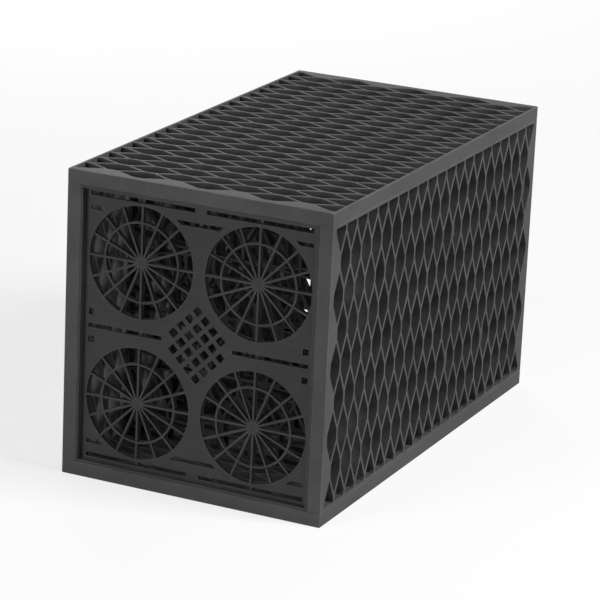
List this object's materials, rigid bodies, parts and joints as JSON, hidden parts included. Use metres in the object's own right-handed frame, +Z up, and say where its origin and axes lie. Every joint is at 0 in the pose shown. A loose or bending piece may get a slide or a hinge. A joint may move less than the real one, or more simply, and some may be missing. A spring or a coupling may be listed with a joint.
{
  "type": "soakaway crate",
  "caption": "Box-shaped plastic soakaway crate of lattice plates, with inner lattice plates for strength and an end plate of round spoked pipe ports, for storing storm water underground.",
  "frame": {"origin": "centre of the crate's base, on the surface that it stands on", "axes": "+Z up, +Y along the crate's length from the port end to the rear end, +X across its width"},
  "size_m": [0.4, 0.715, 0.44],
  "materials": {
    "large_plate": "matte moulded polypropylene",
    "small_plate": "matte moulded polypropylene",
    "port_plate": "matte moulded polypropylene"
  },
  "bodies": {
    "root": {"top_plate": "large_plate", "bottom_plate": "large_plate", "left_side_plate": "large_plate", "right_side_plate": "large_plate", "port_end_plate": "port_plate", "rear_end_plate": "small_plate", "inner_plate_1": "small_plate", "inner_plate_2": "small_plate", "inner_plate_3": "small_plate", "inner_plate_4": "small_plate"}
  },
  "joints": []
}
